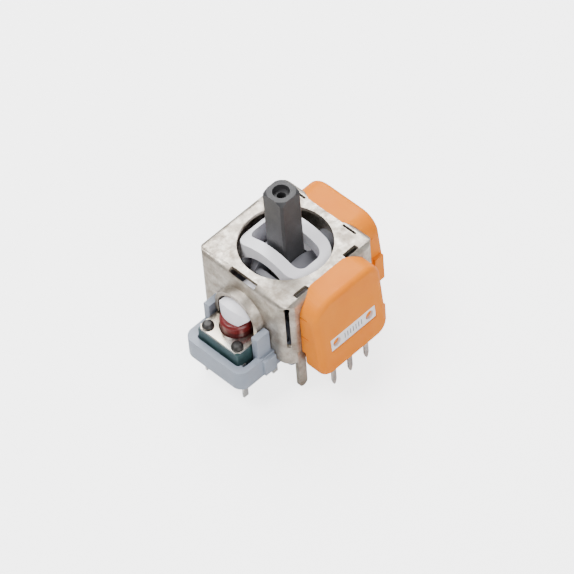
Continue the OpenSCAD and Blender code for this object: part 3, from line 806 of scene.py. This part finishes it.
class STICK_OT_switch(StickOperator):
    """Finishes the press switch: body, cover plate, dome and terminals"""

    bl_idname = "analog_stick.switch"
    bl_label = "Press switch"

    def make(self):
        paint = colours()
        body = softened("switch_body", sizes().small_edge)
        coat(body, self.dark_moulding())
        cover = softened("switch_cover", sizes().small_edge)
        coat(cover, self.cover_plate())
        terminals = softened("switch_terminals", sizes().small_edge)
        bright = metal("Terminal tin", paint.pin, shaded(paint.pin, 0.75), roughness=0.25)
        coat(terminals, bright)
        coat_node("switch_dome", metal("Dome steel", shaded(paint.pin, 0.9), shaded(paint.pin, 0.7)))

    def dark_moulding(self):
        """Dark body whose staked stud heads are a warmer grey."""
        paint = colours()
        material, tree, shader, place = start_material("Switch moulding")
        mottle = group_node(
            tree,
            "Mottle",
            vector=place,
            patch_size=0.0016,
            contrast=0.5,
            first=paint.switch_dark,
            second=shaded(paint.switch_dark, 1.9),
        )
        grain = group_node(
            tree, "Fine grain", vector=place, grain_size=0.0002, roughness=0.4, spread=0.3
        )
        height = put(tree, "ShaderNodeSeparateXYZ", (-700, -400))
        wire(tree, place, height.inputs[0])
        above = math_node(tree, "GREATER_THAN", height.outputs["Z"], STUD_FOOT)
        colour = blend_colour(tree, above, mottle.outputs["Color"], paint.stud)
        dress(tree, shader, colour, grain, 0.00001)
        return material

    def cover_plate(self):
        """Bright plate with the thin rainbow sheen of heat."""
        paint = colours()
        material, tree, shader, place = start_material("Cover plate")
        sheen = put(tree, "ShaderNodeTexNoise", (-700, 200))
        sheen.inputs["Scale"].default_value = 260.0
        sheen.inputs["Detail"].default_value = 1.0
        wire(tree, place, sheen.inputs["Vector"])
        ramp = put(tree, "ShaderNodeValToRGB", (-400, 200))
        ramp.color_ramp.elements[0].position = 0.30
        ramp.color_ramp.elements[0].color = (0.52, 0.47, 0.43, 1.0)
        ramp.color_ramp.elements[1].position = 0.72
        ramp.color_ramp.elements[1].color = (0.50, 0.56, 0.58, 1.0)
        warm = ramp.color_ramp.elements.new(0.5)
        warm.color = paint.cover
        wire(tree, sheen.outputs[0], ramp.inputs["Fac"])
        grain = group_node(
            tree, "Fine grain", vector=place, grain_size=0.0003, roughness=0.24, spread=0.12
        )
        shader.inputs["Metallic"].default_value = 1.0
        dress(tree, shader, ramp.outputs["Color"], grain, 0.000003)
        return material


class STICK_OT_housings(StickOperator):
    """Finishes both orange sensor housings and their white strips"""

    bl_idname = "analog_stick.housings"
    bl_label = "Sensor housings"

    def make(self):
        finish = self.orange_moulding()
        for side, axis in (("right", "Y"), ("rear", "X")):
            housing = softened(f"{side}_housing", sizes().housing_edge)
            coat(housing, finish)
            strip = softened(f"{side}_strip", sizes().small_edge)
            coat(strip, self.printed_strip(side, axis))

    def orange_moulding(self):
        """Satin orange plastic with one faint round ejector mark on the right housing's face."""
        paint = colours()
        material, tree, shader, place = start_material("Orange moulding")
        mottle = group_node(
            tree,
            "Mottle",
            vector=place,
            patch_size=0.004,
            contrast=0.4,
            first=paint.orange,
            second=paint.orange_deep,
        )
        grain = group_node(
            tree, "Fine grain", vector=place, grain_size=0.0002, roughness=0.5, spread=0.14
        )
        mark = group_node(
            tree,
            "Round mark",
            vector=place,
            centre=EJECTOR_MID,
            radius=EJECTOR_RADIUS,
            softness=0.14 * MM,
        )
        ring = math_node(tree, "MULTIPLY", mark.outputs["Ring"], 0.8)
        height = math_node(tree, "ADD", grain.outputs["Height"], ring)
        wire(tree, mottle.outputs["Color"], shader.inputs["Base Color"])
        wire(tree, grain.outputs["Roughness"], shader.inputs["Roughness"])
        shader.inputs["Specular IOR Level"].default_value = 0.18
        add_bump(tree, shader, height, 0.000008)
        return material

    def printed_strip(self, side, axis):
        """White plate with a row of plain index ticks."""
        paint = colours()
        material, tree, shader, place = start_material(f"Strip of the {side} housing")
        parts = put(tree, "ShaderNodeSeparateXYZ", (-700, -400))
        wire(tree, place, parts.inputs[0])
        level = math_node(tree, "SUBTRACT", parts.outputs["Z"], STRIP_MID.z)
        ticks = group_node(
            tree,
            "Index ticks",
            along=parts.outputs[axis],
            across=level,
            pitch=sizes().tick_pitch,
            width=sizes().tick_width,
            reach=TICK_REACH,
            height=TICK_HALF,
        )
        mottle = group_node(
            tree,
            "Mottle",
            vector=place,
            patch_size=0.0012,
            contrast=0.3,
            first=paint.strip_white,
            second=shaded(paint.strip_white, 0.92),
        )
        grain = group_node(
            tree, "Fine grain", vector=place, grain_size=0.00015, roughness=0.35, spread=0.1
        )
        colour = blend_colour(tree, ticks.outputs["Mask"], mottle.outputs["Color"], paint.ink)
        dress(tree, shader, colour, grain, 0.000003)
        return material


class STICK_OT_sensors(StickOperator):
    """Finishes the sensor boards, chips, magnets and pins"""

    bl_idname = "analog_stick.sensors"
    bl_label = "Sensors and pins"

    def make(self):
        paint = colours()
        board = moulded("Green board", paint.board, shaded(paint.board, 1.4), roughness=0.3)
        chip = moulded("Chip case", paint.chip, shaded(paint.chip, 1.8), roughness=0.5)
        magnet = metal("Nickel plate", paint.nickel, shaded(paint.nickel, 0.8), roughness=0.3)
        holder = moulded("Holder moulding", paint.white, shaded(paint.white, 0.9))
        tinned = metal("Pin tin", paint.pin, shaded(paint.pin, 0.72), roughness=0.28, patch=0.001)
        for side in ("right", "rear"):
            coat_node(f"{side}_board", board)
            coat_node(f"{side}_sensor", chip)
            coat_node(f"{side}_magnet", magnet)
            coat_node(f"{side}_magnet_holder", holder)
            pins = softened(f"{side}_pins", sizes().small_edge)
            coat(pins, tinned)


class STICK_OT_spring(StickOperator):
    """Finishes the return spring and its puck"""

    bl_idname = "analog_stick.spring"
    bl_label = "Spring and puck"

    def make(self):
        paint = colours()
        steel = metal("Spring steel", shaded(paint.pin, 0.85), shaded(paint.pin, 0.65))
        coat_node("return_spring", steel)
        puck = moulded("Puck moulding", paint.puck_grey, shaded(paint.puck_grey, 1.15))
        coat_node("centring_puck", puck)


STEPS = (
    STICK_OT_stage,
    STICK_OT_shell,
    STICK_OT_base,
    STICK_OT_lever,
    STICK_OT_gimbal,
    STICK_OT_press,
    STICK_OT_switch,
    STICK_OT_housings,
    STICK_OT_sensors,
    STICK_OT_spring,
)


class STICK_PT_module(bpy.types.Panel):
    """Lists the module's pieces in the sidebar."""

    bl_label = "Analog Stick"
    bl_space_type = "VIEW_3D"
    bl_region_type = "UI"
    bl_category = "Analog Stick"

    def draw(self, context):
        for name in StickSizes.__annotations__:
            self.layout.prop(context.scene.stick_sizes, name)
        for name in StickColours.__annotations__:
            self.layout.prop(context.scene.stick_colours, name)
        for step in STEPS:
            self.layout.operator(step.bl_idname)


CLASSES = (StickSizes, StickColours, *STEPS, STICK_PT_module)


def register():
    for cls in CLASSES:
        bpy.utils.register_class(cls)
    bpy.types.Scene.stick_sizes = bpy.props.PointerProperty(type=StickSizes)
    bpy.types.Scene.stick_colours = bpy.props.PointerProperty(type=StickColours)


def unregister():
    del bpy.types.Scene.stick_colours
    del bpy.types.Scene.stick_sizes
    for cls in reversed(CLASSES):
        bpy.utils.unregister_class(cls)


def build_groups():
    """Builds each shared node group once."""
    GROUPS["Mottle"] = mottle_group()
    GROUPS["Fine grain"] = grain_group()
    GROUPS["Round mark"] = spot_group()
    GROUPS["Index ticks"] = ticks_group()


def main():
    register()
    build_groups()
    for step in STEPS:
        family, name = step.bl_idname.split(".")
        getattr(getattr(bpy.ops, family), name)()


if __name__ == "__main__":
    main()
